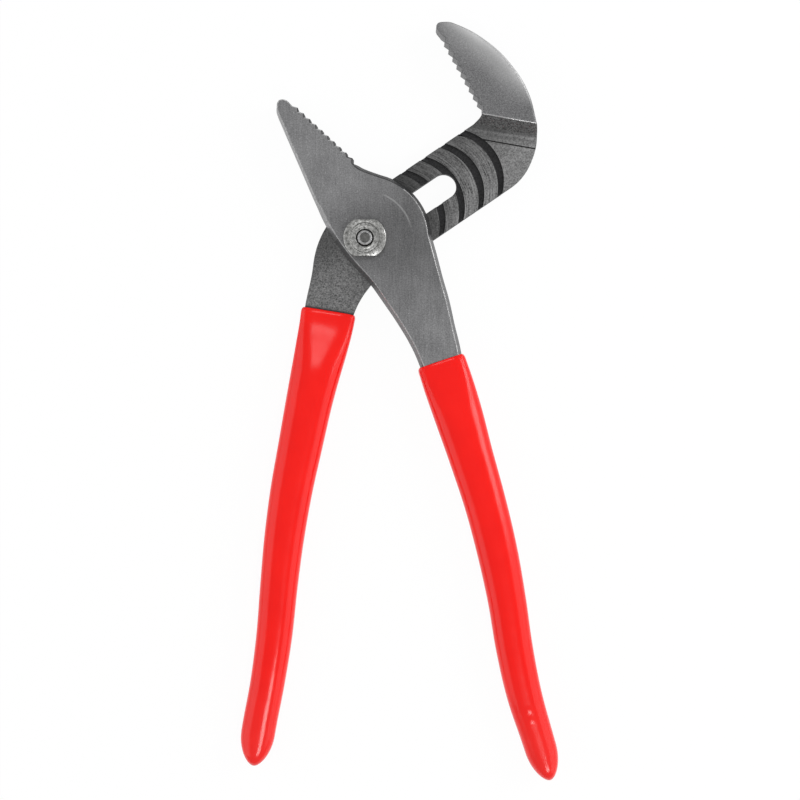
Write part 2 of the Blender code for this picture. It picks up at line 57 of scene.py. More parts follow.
# %% The camera
PICTURE_WIDTH = 320 * MM
LENS_HEIGHT = 800 * MM
JOINT_LEVEL = 8.65 * MM
PICTURE_CENTRE = Vector((13.9 * MM, -64.2 * MM, JOINT_LEVEL))

lens = bpy.data.cameras.new("lens")
lens.sensor_fit = "HORIZONTAL"
lens.angle = 2 * math.atan(PICTURE_WIDTH / 2 / LENS_HEIGHT)
camera = bpy.data.objects.new("camera", lens)
camera.location = PICTURE_CENTRE + Vector((0, 0, LENS_HEIGHT))
bpy.context.scene.collection.objects.link(camera)
bpy.context.scene.camera = camera
bpy.context.scene.view_settings.view_transform = "Standard"
print("camera height", round(camera.location.z, 3), "m, angle", round(math.degrees(lens.angle), 1))

# %% [markdown]
# Colours are written as the hex values that a picture editor shows, which are sRGB.
# Blender's shaders count light, so one function turns each value into linear light.
# A finish could be put together by hand in the shader editor, but then nobody could read how it was made.
# Here one function adds a node and links it, and two more start a finish and connect its patterns.

# %% Colours and shader nodes
COLOUR_A, COLOUR_B, COLOUR_OUT = 6, 7, 2    # the Mix node's sockets for colours come after those for numbers
WHITE = (1, 1, 1, 1)


def colour(code):
    """A hex value such as "#7f7f7f" as linear red, green, blue and a full alpha."""
    shares = [int(code[i:i + 2], 16) / 255 for i in (1, 3, 5)]
    linear = [s / 12.92 if s <= 0.04045 else ((s + 0.055) / 1.055) ** 2.4 for s in shares]
    return (*linear, 1)


def add_node(tree, kind, inputs=None, output=0, **settings):
    """A new shader node's output. Its inputs are plain values or the outputs of other nodes."""
    node = tree.nodes.new(kind)
    for name, value in settings.items():
        setattr(node, name, value)
    for name, value in (inputs or {}).items():
        if isinstance(value, bpy.types.NodeSocket):
            tree.links.new(value, node.inputs[name])
        else:
            node.inputs[name].default_value = value
    return node.outputs[output]


def new_finish(name, **plain_values):
    """A new material. Values that are the same all over go on its Principled shader."""
    finish = bpy.data.materials.new(name)
    finish.use_nodes = True
    tree = finish.node_tree
    shader = tree.nodes["Principled BSDF"]
    for socket, value in plain_values.items():
        shader.inputs[socket.replace("_", " ")].default_value = value
    return finish, tree, shader


def link_patterns(tree, shader, **patterns):
    """Links each pattern to the Principled shader's socket of that name."""
    for socket, pattern in patterns.items():
        tree.links.new(pattern, shader.inputs[socket.replace("_", " ")])


print("mid grey in linear light:", round(colour("#7f7f7f")[0], 3))

# %% [markdown]
# The table is a sheet of white paper, far larger than the picture.
# A grid of one face is enough for it, because it is flat and nothing bends it.

# %% The table
TABLE_SIZE = 3.0
TABLE_DROP = 0.3 * MM

shape = bmesh.new()
bmesh.ops.create_grid(shape, x_segments=1, y_segments=1, size=TABLE_SIZE / 2)
table_mesh = bpy.data.meshes.new("table")
shape.to_mesh(table_mesh)
shape.free()
table = bpy.data.objects.new("table", table_mesh)
table.location = (PICTURE_CENTRE.x, PICTURE_CENTRE.y, -TABLE_DROP)
bpy.context.scene.collection.objects.link(table)
print("table", TABLE_SIZE, "m wide")

# %% [markdown]
# Uncoated paper is matt: it sends light everywhere and shows no reflection.
# It could be lit until it turns white, but so much light would bleach the tool as well.
# So to the camera, and to metal that mirrors it, it mostly glows white by itself,
# as an overexposed product table does. The rest of it is plain paper, which keeps a soft shadow.

# %% White paper
GLOW = 0.96

paper, tree, shader = new_finish("white_paper", Base_Color=colour("#f8f8f8"), Roughness=0.9)
rays = add_node(tree, "ShaderNodeLightPath").node.outputs
seen = rays["Is Camera Ray"]
for ray in ("Is Glossy Ray", "Is Transmission Ray"):
    seen = add_node(tree, "ShaderNodeMath", {0: seen, 1: rays[ray]}, operation="MAXIMUM")
share = add_node(tree, "ShaderNodeMath", {0: seen, 1: GLOW}, operation="MULTIPLY")
glow = add_node(tree, "ShaderNodeEmission", {"Color": WHITE, "Strength": 1.0})
sheet = add_node(tree, "ShaderNodeMixShader", {0: share, 1: shader.outputs[0], 2: glow})
tree.links.new(sheet, tree.nodes["Material Output"].inputs["Surface"])
table_mesh.materials.append(paper)
print("the paper glows by", GLOW)

# %% [markdown]
# The light is that of a small studio: a pale room all round, a long dim box low on each side,
# a brighter strip low on the right, and two small lamps high up, beyond the jaws and beyond the grips' ends.
# One lamp would do for a flat thing, but glossy vinyl shows each lamp as a shape of its own.
# The boxes lighten the sides of the grips, the strip draws a line along the right one,
# and the small lamps pick out the slope below the left grip's mouth, the nut and the grips' ends.
# Together they light a plain surface to about the colour that it is given.

# %% The light
# Each lamp: where it stands in the picture (degrees, 0 to the right, 90 to the top), its height in degrees,
# its distance in metres, its size across and up in metres, and how many times brighter than white it is.
ROOM = 0.55
LAMPS = {
    "left_box": (180, 25, 0.95, (1.25, 0.8), 1.05),
    "right_box": (0, 25, 0.95, (1.25, 0.8), 0.95),
    "right_strip": (20, 33, 0.95, (0.45, 0.42), 4.0),
    "jaw_lamp": (95, 66, 1.2, (0.3, 0.2), 3.7),
    "tip_lamp": (294, 62, 1.35, (0.34, 0.3), 10.5),
}

room = bpy.data.worlds.new("room")
room.use_nodes = True
room.node_tree.nodes["Background"].inputs["Color"].default_value = WHITE
room.node_tree.nodes["Background"].inputs["Strength"].default_value = ROOM
bpy.context.scene.world = room
for name, (bearing, height, distance, (across, up), brightness) in LAMPS.items():
    bearing, height = math.radians(bearing), math.radians(height)
    level = Vector((math.cos(bearing), math.sin(bearing), 0))
    towards = level * math.cos(height) + Vector((0, 0, math.sin(height)))
    lamp = bpy.data.lights.new(name, "AREA")
    lamp.shape = "RECTANGLE"
    lamp.size, lamp.size_y = across, up
    lamp.energy = brightness * math.pi * across * up
    stand = bpy.data.objects.new(name, lamp)
    stand.location = PICTURE_CENTRE + towards * distance
    stand.rotation_euler = (-towards).to_track_quat("-Z", "Y").to_euler()
    bpy.context.scene.collection.objects.link(stand)
print(len(LAMPS), "lamps in a room of brightness", ROOM)

# %% [markdown]
# Forged carbon steel is not one finish but several, one for each thing that was done to it.
# One material with many masks could hold them all, but it would be hard to follow.
# So each finish is a material of its own, and later the faces of each forging share them out.
# The first is belt-ground steel, on the front half: the forging was held against an abrasive belt.
# Its lines spread a reflection to a soft sheen, and a film of oil keeps it from looking quite like metal.
# Thousands of scratches are too many to model, so noise that is stretched along the belt's run draws them.

# %% Belt-ground steel: lines, grain and clouds
LINE_WIDTH = 0.34 * MM    # real lines are some hundredths of a millimetre wide: these are coarser, to show
LINE_LENGTH = 9 * MM
GRAIN = 0.5 * MM
GRAIN_SHARE = 0.65
CLOUD = 13 * MM
CLOUD_SHARE = 0.25
GROUND_CONTRAST = {"From Min": 0.35, "From Max": 0.65}    # what a Map Range node stretches to 0 to 1

ground_steel, tree, shader = new_finish("belt_ground_steel", Metallic=0.9)
place = add_node(tree, "ShaderNodeTexCoord", output="Object")
stretch = (1 / LINE_WIDTH, 1 / LINE_LENGTH, 1 / LINE_WIDTH)
lines = add_node(tree, "ShaderNodeVectorMath", {0: place, 1: stretch}, operation="MULTIPLY")
lines = add_node(tree, "ShaderNodeTexNoise", {"Vector": lines, "Scale": 1, "Detail": 3, "Roughness": 0.6})
grain = add_node(tree, "ShaderNodeTexNoise", {"Vector": place, "Scale": 1 / GRAIN, "Detail": 2})
cloud = add_node(tree, "ShaderNodeTexNoise", {"Vector": place, "Scale": 1 / CLOUD, "Detail": 2})
tone = add_node(tree, "ShaderNodeMix", {"Factor": GRAIN_SHARE, "A": lines, "B": grain})
tone = add_node(tree, "ShaderNodeMix", {"Factor": CLOUD_SHARE, "A": tone, "B": cloud})
tone = add_node(tree, "ShaderNodeMapRange", {"Value": tone, **GROUND_CONTRAST})
greys = {"Factor": tone, COLOUR_A: colour("#6a6a6b"), COLOUR_B: colour("#979798")}
paint = add_node(tree, "ShaderNodeMix", greys, COLOUR_OUT, data_type="RGBA")
print("ground lines", LINE_WIDTH / MM, "mm wide")

# %% Belt-ground steel: bright specks, and a darker patch round the joint
# The steel is painted darker round a point just right of the nut.
SPECK = 0.8 * MM
GROUND_SPECKS = {"From Min": 0.7, "From Max": 0.76, "To Max": 0.45}
DARK_PATCH_CENTRE = Vector((16 * MM, 1 * MM, 0))
DARK_PATCH_CORE = 8 * MM
DARK_PATCH_REACH = 42 * MM
DARK_PATCH_TINT = 0.6

specks = add_node(tree, "ShaderNodeTexNoise", {"Vector": place, "Scale": 1 / SPECK, "Detail": 1})
specks = add_node(tree, "ShaderNodeMapRange", {"Value": specks, **GROUND_SPECKS})
speckled = {"Factor": specks, COLOUR_A: paint, COLOUR_B: colour("#c4c4c4")}
paint = add_node(tree, "ShaderNodeMix", speckled, COLOUR_OUT, data_type="RGBA")
far = add_node(tree, "ShaderNodeVectorMath", {0: place, 1: DARK_PATCH_CENTRE}, "Value", operation="DISTANCE")
dark_patch = {"Value": far, "From Min": DARK_PATCH_REACH, "From Max": DARK_PATCH_CORE}
dark_patch = add_node(tree, "ShaderNodeMapRange", dark_patch, interpolation_type="SMOOTHSTEP")
patch_darkened = {"Factor": dark_patch, COLOUR_A: paint, COLOUR_B: (DARK_PATCH_TINT, DARK_PATCH_TINT, DARK_PATCH_TINT, 1)}
paint = add_node(tree, "ShaderNodeMix", patch_darkened, COLOUR_OUT, data_type="RGBA", blend_type="MULTIPLY")
print("oil reaches", DARK_PATCH_REACH / MM, "mm")

# %% Belt-ground steel: a faint bright arc, and the depth of the lines
# A faint bright arc is painted on the plate above and to the right of the nut.
ARC_LINE_RADIUS = 18.8 * MM
ARC_LINE_WIDTH = 0.35 * MM
ARC_LINE_LEFT_FADE = {"From Min": 6 * MM, "From Max": 9 * MM}
ARC_LINE_FOOT_FADE = {"From Min": 3 * MM, "From Max": 9 * MM, "To Max": 0.35}
GROUND_ROUGHNESS = {"To Min": 0.36, "To Max": 0.5}
LINE_DEPTH = 0.03 * MM
NO_HEIGHT = (1, 1, 0)    # a place times this is the same place at level 0

reach = add_node(tree, "ShaderNodeVectorMath", {0: place, 1: NO_HEIGHT}, operation="MULTIPLY")
reach = add_node(tree, "ShaderNodeVectorMath", {0: reach}, "Value", operation="LENGTH")
arc_line = add_node(tree, "ShaderNodeMath", {0: reach, 1: ARC_LINE_RADIUS, 2: ARC_LINE_WIDTH}, operation="COMPARE")
sides = add_node(tree, "ShaderNodeSeparateXYZ", {0: place}).node.outputs
for side, fade in (("X", ARC_LINE_LEFT_FADE), ("Y", ARC_LINE_FOOT_FADE)):
    kept = add_node(tree, "ShaderNodeMapRange", {"Value": sides[side], **fade})
    arc_line = add_node(tree, "ShaderNodeMath", {0: arc_line, 1: kept}, operation="MULTIPLY")
arc_line = {"Factor": arc_line, COLOUR_A: paint, COLOUR_B: colour("#b4b4b4")}
paint = add_node(tree, "ShaderNodeMix", arc_line, COLOUR_OUT, data_type="RGBA")
rough = add_node(tree, "ShaderNodeMapRange", {"Value": lines, **GROUND_ROUGHNESS})
bump = add_node(tree, "ShaderNodeBump", {"Height": lines, "Strength": 0.15, "Distance": LINE_DEPTH})
link_patterns(tree, shader, Base_Color=paint, Roughness=rough, Normal=bump)
print("rubbed arc", ARC_LINE_RADIUS / MM, "mm from the bolt")

# %% [markdown]
# Polished steel is the flat side of the hooked jaw. A finer, softer belt was run over it.
# A painted highlight grows towards its outer curve, where the jaw rounds over and catches the light:
# slowly at first, then quickly. It fades out towards the jaw's tip and its root.
# A lamp of its own could brighten the curve, but this painted highlight has to move with the steel,
# so it is painted by the distance from the curve's centre.

# %% Polished steel: where the painted highlight lies
CURVE_CENTRE = Vector((22 * MM, 40 * MM, 0))
CURVE_RADIUS = 47.5 * MM
HIGHLIGHT_DEPTH = 14 * MM
HIGHLIGHT_PEAK_DEPTH = 5 * MM
SLOW_SHARE = 0.4
QUICK_SHARE = 0.6
HIGHLIGHT_ROOT_FADE = {"From Min": 52 * MM, "From Max": 64 * MM}
HIGHLIGHT_TIP_FADE = {"From Min": 28 * MM, "From Max": 44 * MM}

polished_steel_with_highlight, tree, shader = new_finish("polished_steel_with_highlight", Metallic=0.9)
place = add_node(tree, "ShaderNodeTexCoord", output="Object")
reach = add_node(tree, "ShaderNodeVectorMath", {0: place, 1: CURVE_CENTRE}, operation="SUBTRACT")
reach = add_node(tree, "ShaderNodeVectorMath", {0: reach, 1: NO_HEIGHT}, operation="MULTIPLY")
reach = add_node(tree, "ShaderNodeVectorMath", {0: reach}, "Value", operation="LENGTH")
start = CURVE_RADIUS - HIGHLIGHT_DEPTH
slow = {"Value": reach, "From Min": start, "From Max": CURVE_RADIUS, "To Max": SLOW_SHARE}
slow = add_node(tree, "ShaderNodeMapRange", slow, interpolation_type="SMOOTHSTEP")
quick = {"Value": reach, "From Min": CURVE_RADIUS - HIGHLIGHT_PEAK_DEPTH, "From Max": CURVE_RADIUS}
quick = add_node(tree, "ShaderNodeMapRange", quick)
quick = add_node(tree, "ShaderNodeMath", {0: quick, 1: quick}, operation="MULTIPLY")
painted_highlight = add_node(tree, "ShaderNodeMath", {0: quick, 1: QUICK_SHARE, 2: slow}, operation="MULTIPLY_ADD")
sides = add_node(tree, "ShaderNodeSeparateXYZ", {0: place}).node.outputs
for side, fade in (("Y", HIGHLIGHT_ROOT_FADE), ("X", HIGHLIGHT_TIP_FADE)):
    kept = add_node(tree, "ShaderNodeMapRange", {"Value": sides[side], **fade})
    painted_highlight = add_node(tree, "ShaderNodeMath", {0: painted_highlight, 1: kept}, operation="MULTIPLY")
# The painted highlight fades in over this depth from the outer curve.
print("polish fades over", HIGHLIGHT_DEPTH / MM, "mm")

# %% Polished steel: grain and specks
POLISH_CONTRAST = {"From Min": 0.3, "From Max": 0.7}
POLISH_SPECKS = {"From Min": 0.62, "From Max": 0.78, "To Max": 0.5}
POLISH_ROUGHNESS = {"To Min": 0.32, "To Max": 0.46}
POLISH_RELIEF = 0.03 * MM

grain = add_node(tree, "ShaderNodeTexNoise", {"Vector": place, "Scale": 1 / GRAIN, "Detail": 3})
tone = add_node(tree, "ShaderNodeMapRange", {"Value": grain, **POLISH_CONTRAST})
greys = {"Factor": tone, COLOUR_A: colour("#5c5c5d"), COLOUR_B: colour("#848485")}
paint = add_node(tree, "ShaderNodeMix", greys, COLOUR_OUT, data_type="RGBA")
# The painted highlight: the steel is painted paler towards the outer curve.
highlighted = {"Factor": painted_highlight, COLOUR_A: paint, COLOUR_B: colour("#e0e0e0")}
paint = add_node(tree, "ShaderNodeMix", highlighted, COLOUR_OUT, data_type="RGBA")
specks = add_node(tree, "ShaderNodeTexNoise", {"Vector": place, "Scale": 1 / SPECK, "Detail": 2})
specks = add_node(tree, "ShaderNodeMapRange", {"Value": specks, **POLISH_SPECKS})
speckled = {"Factor": specks, COLOUR_A: paint, COLOUR_B: colour("#b8b8b8")}
paint = add_node(tree, "ShaderNodeMix", speckled, COLOUR_OUT, data_type="RGBA")
rough = add_node(tree, "ShaderNodeMapRange", {"Value": grain, **POLISH_ROUGHNESS})
bump = add_node(tree, "ShaderNodeBump", {"Height": grain, "Strength": 0.2, "Distance": POLISH_RELIEF})
link_patterns(tree, shader, Base_Color=paint, Roughness=rough, Normal=bump)
print("specks", SPECK / MM, "mm apart")

# %% [markdown]
# Sandblasted steel is the neck of the back half and the heel of its jaw. Grit was blown at it to strip the
# scale, which leaves pits all over: it looks grey, even and grainy, with no clear reflection.
# Real pits could be carved with a displacement, but they are too small to change any outline, so noise
# with a bump stands for them.
# The heel is paler than the neck, the side towards the slot is darker, and a painted shadow lies along the
# grip's mouth, where the vinyl's lip stands over the steel.

# %% Sandblasted steel: grains, and how light they are
GRIT = 0.55 * MM    # real pits are about a fifth of a millimetre wide: these are coarser, to show
BLAST_CONTRAST = {"From Min": 0.32, "From Max": 0.68}
BLAST_CLOUD = 6 * MM
BLAST_CLOUD_SHARE = 0.2
HEEL = {"From Min": 0 * MM, "From Max": 30 * MM, "To Max": 0.18}
ARM_ANGLE = math.radians(34.1)
ACROSS_THE_ARM = (-math.sin(ARM_ANGLE), math.cos(ARM_ANGLE), 0)
NECK_SHADE = {"From Min": -6 * MM, "From Max": 7 * MM, "To Min": 1, "To Max": 0.55}

blasted_steel, tree, shader = new_finish("sandblasted_steel", Metallic=0.8, Roughness=0.56)
place = add_node(tree, "ShaderNodeTexCoord", output="Object")
grains = {"Vector": place, "Scale": 1 / GRIT, "Detail": 2, "Roughness": 0.7}
grains = add_node(tree, "ShaderNodeTexNoise", grains)
cloud = add_node(tree, "ShaderNodeTexNoise", {"Vector": place, "Scale": 1 / BLAST_CLOUD, "Detail": 2})
tone = add_node(tree, "ShaderNodeMapRange", {"Value": grains, **BLAST_CONTRAST})
tone = add_node(tree, "ShaderNodeMix", {"Factor": BLAST_CLOUD_SHARE, "A": tone, "B": cloud})
up_the_tool = add_node(tree, "ShaderNodeSeparateXYZ", {0: place}, "Y")
heel = add_node(tree, "ShaderNodeMapRange", {"Value": up_the_tool, **HEEL})
tone = add_node(tree, "ShaderNodeMath", {0: tone, 1: heel}, operation="ADD")
across = {0: place, 1: ACROSS_THE_ARM}
across = add_node(tree, "ShaderNodeVectorMath", across, "Value", operation="DOT_PRODUCT")
shade = add_node(tree, "ShaderNodeMapRange", {"Value": across, **NECK_SHADE})
tone = add_node(tree, "ShaderNodeMath", {0: tone, 1: shade}, operation="MULTIPLY")
print("blasted grain", GRIT / MM, "mm")

# %% Sandblasted steel: painted light and shade along the step
# Each mark is its distance from the step's foot in mm, and how bright the steel is painted there: painted
# shade in the step's shadow, then bright and dark bands, painted as the highlights and shadow lines of small
# ridges along the step, and the open face between them.
STEP_FOOT = Vector((53.9 * MM, 44.6 * MM, 0))
AWAY_FROM_STEP = (-0.144, -0.99, 0)
STEP_REACH = 9 * MM
STEP_SHADOW = 0.55
STEP_LIGHT_AND_SHADE = (
    (1.5, STEP_SHADOW), (2.1, 1.1), (2.5, 1.15), (3.2, 0.75), (4.0, 0.85), (5.3, 1.05), (6.4, 0.9),
    (6.8, 1.25), (7.2, 1.25), (7.7, 1.0),
)

away = add_node(tree, "ShaderNodeVectorMath", {0: place, 1: STEP_FOOT}, operation="SUBTRACT")
away = {0: away, 1: AWAY_FROM_STEP}
away = add_node(tree, "ShaderNodeVectorMath", away, "Value", operation="DOT_PRODUCT")
away = add_node(tree, "ShaderNodeMapRange", {"Value": away, "From Max": STEP_REACH})
marks = add_node(tree, "ShaderNodeFloatCurve", {"Value": away})
mapping = marks.node.mapping
mapping.use_clip = False
points = mapping.curves[0].points
points[0].location = (0, STEP_SHADOW)
points[1].location = (1, 1)
for distance, brightness in STEP_LIGHT_AND_SHADE:
    points.new(distance * MM / STEP_REACH, brightness)
for point in points:
    point.handle_type = "VECTOR"
mapping.update()
tone = add_node(tree, "ShaderNodeMath", {0: tone, 1: marks}, operation="MULTIPLY")
print(len(STEP_LIGHT_AND_SHADE), "marks along the step")

# %% Sandblasted steel: a painted shadow along the grip's mouth
MOUTH = Vector((-14.7 * MM, -28.5 * MM, 0))
UP_THE_NECK = (0.16, 0.987, 0)
MOUTH_SHADOW_LINE = {"From Min": 0.2 * MM, "From Max": 1.2 * MM}
PIT_RELIEF = 0.12 * MM

# Painted shadow: the neck is darkened in a thin line just above the grip's mouth.
climb = add_node(tree, "ShaderNodeVectorMath", {0: place, 1: MOUTH}, operation="SUBTRACT")
climb = {0: climb, 1: UP_THE_NECK}
climb = add_node(tree, "ShaderNodeVectorMath", climb, "Value", operation="DOT_PRODUCT")
undarkened = add_node(tree, "ShaderNodeMapRange", {"Value": climb, **MOUTH_SHADOW_LINE})
tone = add_node(tree, "ShaderNodeMath", {0: tone, 1: undarkened}, operation="MULTIPLY")
greys = {"Factor": tone, COLOUR_A: colour("#363636"), COLOUR_B: colour("#939393")}
paint = add_node(tree, "ShaderNodeMix", greys, COLOUR_OUT, data_type="RGBA")
bump = add_node(tree, "ShaderNodeBump", {"Height": grains, "Strength": 0.6, "Distance": PIT_RELIEF})
link_patterns(tree, shader, Base_Color=paint, Normal=bump)
print("dirt line", MOUTH_SHADOW_LINE["From Max"] / MM, "mm high")

# %% [markdown]
# Milled steel is the lands between the grooves. The cutter that makes the grooves swings in arcs,
# so its marks run along the same arcs, and a land looks brushed along the groove beside it.
# A wave pattern could draw arcs about one centre, but here each arc has a centre of its own along the arm.
# So each point gets the number of the arc that it lies on, and the marks change mostly across the arcs.
# The lands next to the plate are painted darker, and reach their full tone further along the arm.

# %% Milled steel: the arc that each point lies on
GROOVE_RADIUS = 22 * MM

milled_steel, tree, shader = new_finish("milled_steel", Metallic=0.85, Roughness=0.5)
place = add_node(tree, "ShaderNodeTexCoord", output="Object")
turned_place = {"Vector": place, "Angle": -ARM_ANGLE}
turned_place = add_node(tree, "ShaderNodeVectorRotate", turned_place, rotation_type="Z_AXIS")
sides = add_node(tree, "ShaderNodeSeparateXYZ", {0: turned_place}).node.outputs
across = add_node(tree, "ShaderNodeMath", {0: sides["Y"], 1: sides["Y"]}, operation="MULTIPLY")
bow = add_node(tree, "ShaderNodeMath", {0: GROOVE_RADIUS ** 2, 1: across}, operation="SUBTRACT")
bow = add_node(tree, "ShaderNodeMath", {0: bow}, operation="SQRT")
arc_number = add_node(tree, "ShaderNodeMath", {0: sides["X"], 1: bow}, operation="SUBTRACT")
arc_place = add_node(tree, "ShaderNodeCombineXYZ", {0: arc_number, 1: sides["Y"]})
print("arcs of", GROOVE_RADIUS / MM, "mm")

# %% Milled steel: marks, and darker lands near the plate
MARK_WIDTH = 0.5 * MM    # real marks are about a tenth of a millimetre wide: these are coarser, to show
MARK_LENGTH = 10 * MM
MILLED_GRAIN_SHARE = 0.4
MILLED_CONTRAST = {"From Min": 0.34, "From Max": 0.66}
NEAR_PLATE_DARKENING = {"From Min": 2 * MM, "From Max": 22 * MM, "To Min": 0.2}
LAND_SHADE = {"From Min": -15 * MM, "From Max": 13 * MM, "To Min": 1.3, "To Max": 0.6}
MARK_RELIEF = 0.08 * MM

stretch = (1 / MARK_WIDTH, 1 / MARK_LENGTH, 1)
marks = add_node(tree, "ShaderNodeVectorMath", {0: arc_place, 1: stretch}, operation="MULTIPLY")
marks = add_node(tree, "ShaderNodeTexNoise", {"Vector": marks, "Scale": 1, "Detail": 3, "Roughness": 0.6})
grains = add_node(tree, "ShaderNodeTexNoise", {"Vector": place, "Scale": 1 / GRIT, "Detail": 2})
tone = add_node(tree, "ShaderNodeMix", {"Factor": MILLED_GRAIN_SHARE, "A": marks, "B": grains})
tone = add_node(tree, "ShaderNodeMapRange", {"Value": tone, **MILLED_CONTRAST})
# The lands are painted darker near the plate, up to their full tone 22 mm along the arm.
undarkened = add_node(tree, "ShaderNodeMapRange", {"Value": arc_number, **NEAR_PLATE_DARKENING})
tone = add_node(tree, "ShaderNodeMath", {0: tone, 1: undarkened}, operation="MULTIPLY")
shade = add_node(tree, "ShaderNodeMapRange", {"Value": sides["Y"], **LAND_SHADE})
tone = add_node(tree, "ShaderNodeMath", {0: tone, 1: shade}, operation="MULTIPLY")
greys = {"Factor": tone, COLOUR_A: colour("#2c2c2c"), COLOUR_B: colour("#959595")}
paint = add_node(tree, "ShaderNodeMix", greys, COLOUR_OUT, data_type="RGBA")
bump = add_node(tree, "ShaderNodeBump", {"Height": tone, "Strength": 0.4, "Distance": MARK_RELIEF})
link_patterns(tree, shader, Base_Color=paint, Normal=bump)
print("milling marks", MARK_WIDTH / MM, "mm wide")

# %% [markdown]
# The walls and edges of the forgings have seven finishes, which differ in tone more than in kind.
# What no tool touched keeps its forging scale, which is iron oxide: dark, dull, slightly pitted, and only
# partly like metal. Where an edge was cut, ground or handled the oxide is gone, and the steel is paler.
# Seven materials could be written one by one; one function with a few values makes them all.

# %% Edges and walls: rubbed bright, ground grey, or still in dark forging scale
PIT = 0.7 * MM
PIT_CONTRAST = {"From Min": 0.3, "From Max": 0.7}
PIT_GLOSS = 0.1


def edge_finish(name, dark, light, metallic, roughness, pit_depth):
    """Pitted steel or oxide between two colours. The pits are rougher than what stands between them."""
    finish, tree, shader = new_finish(name, Metallic=metallic)
    place = add_node(tree, "ShaderNodeTexCoord", output="Object")
    pits = {"Vector": place, "Scale": 1 / PIT, "Detail": 3, "Roughness": 0.65}
    pits = add_node(tree, "ShaderNodeTexNoise", pits)
    tone = add_node(tree, "ShaderNodeMapRange", {"Value": pits, **PIT_CONTRAST})
    greys = {"Factor": tone, COLOUR_A: colour(dark), COLOUR_B: colour(light)}
    paint = add_node(tree, "ShaderNodeMix", greys, COLOUR_OUT, data_type="RGBA")
    rough = {"Value": pits, "To Min": roughness + PIT_GLOSS, "To Max": roughness - PIT_GLOSS}
    rough = add_node(tree, "ShaderNodeMapRange", rough)
    bump = add_node(tree, "ShaderNodeBump", {"Height": pits, "Strength": 0.5, "Distance": pit_depth})
    link_patterns(tree, shader, Base_Color=paint, Roughness=rough, Normal=bump)
    return finish


worn_edge = edge_finish("worn_edge", "#848485", "#cacaca", 1.0, 0.35, 0.02 * MM)
bright_edge = edge_finish("bright_edge", "#868686", "#dadada", 1.0, 0.4, 0.05 * MM)
cut_edge = edge_finish("cut_edge", "#5a5a5b", "#848485", 0.8, 0.5, 0.05 * MM)
# A lighter copy of cut_edge for the front half's left walls, painted lighter as if lit from the left.
ground_wall_painted_lit = edge_finish("ground_wall_painted_lit", "#727273", "#a0a0a1", 0.8, 0.45, 0.05 * MM)
forging_scale = edge_finish("forging_scale", "#262627", "#4c4c4d", 0.5, 0.62, 0.1 * MM)
# The grooves' walls and floors are painted near black.
near_black_groove = edge_finish("near_black_groove", "#1c1c1d", "#383839", 0.5, 0.6, 0.05 * MM)
step_scale = edge_finish("step_scale", "#141414", "#8f8f8f", 0.6, 0.6, 0.3 * MM)
print("four steel edges and three tones of scale")

# %% [markdown]
# Both forgings keep the shape of the frame's own solids, which is true to the real ones.
# They could be modelled again with smoother curves, but then the joint might no longer fit.
# So each is copied, and its triangles are merged back into whole faces.
# Every face then gets the finish of the step that made it, told from its level, its slope and its place.

# %% Whole faces from the frame's triangles
WELD = 0.004 * MM
FLAT = math.radians(0.6)
SHARP = math.radians(28)


def whole_faces(node):
    """A copy of a frame solid with its flat triangles merged and its sharp edges marked."""
    shape = bmesh.new()
    shape.from_mesh(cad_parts[node].data)
    bmesh.ops.remove_doubles(shape, verts=shape.verts, dist=WELD)
    bmesh.ops.dissolve_limit(shape, angle_limit=FLAT, verts=shape.verts, edges=shape.edges)
    for face in shape.faces:
        face.smooth = True
    for edge in shape.edges:
        edge.smooth = len(edge.link_faces) == 2 and edge.calc_face_angle() < SHARP
    return shape


print("edges over", round(math.degrees(SHARP)), "degrees stay sharp")

# %% A piece from a shape
def finished_piece(name, shape, node, body, finishes, choose):
    """Makes a piece that stands for a frame solid, with a finish chosen for every face."""
    mesh = bpy.data.meshes.new(name)
    for finish in finishes:
        mesh.materials.append(finish)
    for face in shape.faces:
        face.material_index = finishes.index(choose(face))
    shape.to_mesh(mesh)
    shape.free()
    piece = bpy.data.objects.new(name, mesh)
    bpy.context.scene.collection.objects.link(piece)
    piece.modifiers.new("flat_faces_first", "WEIGHTED_NORMAL").keep_sharp = True
    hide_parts(node)
    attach(piece, body)
    print(name, len(mesh.polygons), "faces")


print(len(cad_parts), "solids to dress")

# %% [markdown]
# The back forging carries the hooked jaw, the step below it, the grooved arm and the neck.
# Its faces could be painted by hand, but a rule for each kind of face is exact, and works again
# when the frame changes. Only the upper edge of the step is rounded, because light catches it.

# %% The back forging: levels, and where its parts lie
BACK_FACE = 2.9 * MM
ARM_FACE = 8.5 * MM
FRONT_FACE = 14.4 * MM
NEAR = 0.15 * MM
FACING = 0.95
GROOVE_PITCH = 9.4 * MM
GROOVE_COUNT = 5
STEP_SLOPE = (0.4, 0.75)
TOOTH_ZONE = 1.9 * MM


def arc_number_of(place):
    """How far along the arm the groove arc through a point is centred."""
    along = place.x * math.cos(ARM_ANGLE) + place.y * math.sin(ARM_ANGLE)
    across = place.y * math.cos(ARM_ANGLE) - place.x * math.sin(ARM_ANGLE)
    return along - math.sqrt(max(GROOVE_RADIUS ** 2 - across ** 2, 0))


def beside_teeth(place, start, end):
    """Whether a place is on the flanks of a row of saw teeth."""
    along = (end - start).normalized()
    far = (place.xy - start).dot(along)
    close = abs((place.xy - start).cross(along)) < TOOTH_ZONE
    return close and -NEAR < far < (end - start).length + NEAR


def is_step(face):
    """Whether a face is the slope between the lapped level and the jaw's front."""
    gentle, steep = STEP_SLOPE
    return gentle < face.normal.z < steep and min(vertex.co.z for vertex in face.verts) < ARM_FACE + NEAR


print(GROOVE_COUNT, "grooves", GROOVE_PITCH / MM, "mm apart")

